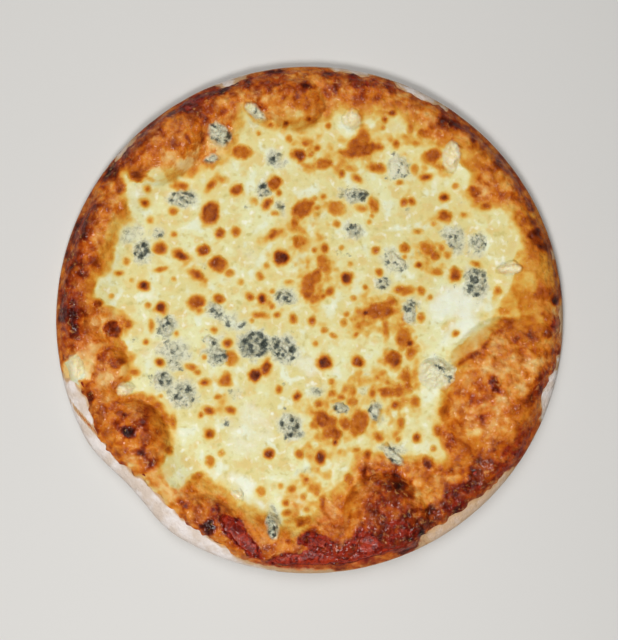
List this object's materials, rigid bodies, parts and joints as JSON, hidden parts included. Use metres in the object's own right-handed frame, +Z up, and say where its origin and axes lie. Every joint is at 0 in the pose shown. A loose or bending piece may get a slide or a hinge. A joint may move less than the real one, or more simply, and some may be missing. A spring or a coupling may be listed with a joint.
{
  "type": "five cheese pizza",
  "caption": "Whole round pizza with a raised browned rim, tomato sauce, melted cheese browned in spots, and lumps of blue cheese and soft cheese.",
  "frame": {"origin": "centre of the flat underside, on the surface that the pizza lies on", "axes": "+Z up out of the topping, +X to the right and +Y away from the reader in the view from straight above"},
  "size_m": [0.3, 0.3, 0.0213],
  "materials": {
    "baked_dough": "baked bread crust, pale and floury at the side and underside, golden to dark brown on the rim, dry and matt",
    "tomato_sauce": "cooked tomato sauce, deep red, moist and glossy",
    "melted_cheese": "melted and browned cheese, ivory to pale yellow with orange-brown spots, oily sheen",
    "blue_cheese": "crumbled blue cheese, ivory with grey-green and blue-black mould, slightly moist",
    "soft_cheese": "soft white cheese, half melted, cream-coloured, satin"
  },
  "bodies": {
    "root": {"dough_crust": "baked_dough", "tomato_sauce": "tomato_sauce", "melted_cheese": "melted_cheese", "blue_cheese_01": "blue_cheese", "blue_cheese_02": "blue_cheese", "blue_cheese_03": "blue_cheese", "blue_cheese_04": "blue_cheese", "blue_cheese_05": "blue_cheese", "blue_cheese_06": "blue_cheese", "blue_cheese_07": "blue_cheese", "blue_cheese_08": "blue_cheese", "blue_cheese_09": "blue_cheese", "blue_cheese_10": "blue_cheese", "blue_cheese_11": "blue_cheese", "blue_cheese_12": "blue_cheese", "blue_cheese_13": "blue_cheese", "blue_cheese_14": "blue_cheese", "blue_cheese_15": "blue_cheese", "blue_cheese_16": "blue_cheese", "blue_cheese_17": "blue_cheese", "blue_cheese_18": "blue_cheese", "blue_cheese_19": "blue_cheese", "blue_cheese_20": "blue_cheese", "blue_cheese_21": "blue_cheese", "blue_cheese_22": "blue_cheese", "blue_cheese_23": "blue_cheese", "blue_cheese_24": "blue_cheese", "blue_cheese_25": "blue_cheese", "blue_cheese_26": "blue_cheese", "blue_cheese_27": "blue_cheese", "blue_cheese_28": "blue_cheese", "blue_cheese_29": "blue_cheese", "blue_cheese_30": "blue_cheese", "soft_cheese_1": "soft_cheese", "soft_cheese_2": "soft_cheese", "soft_cheese_3": "soft_cheese", "soft_cheese_4": "soft_cheese", "soft_cheese_5": "soft_cheese", "soft_cheese_6": "soft_cheese"}
  },
  "joints": []
}
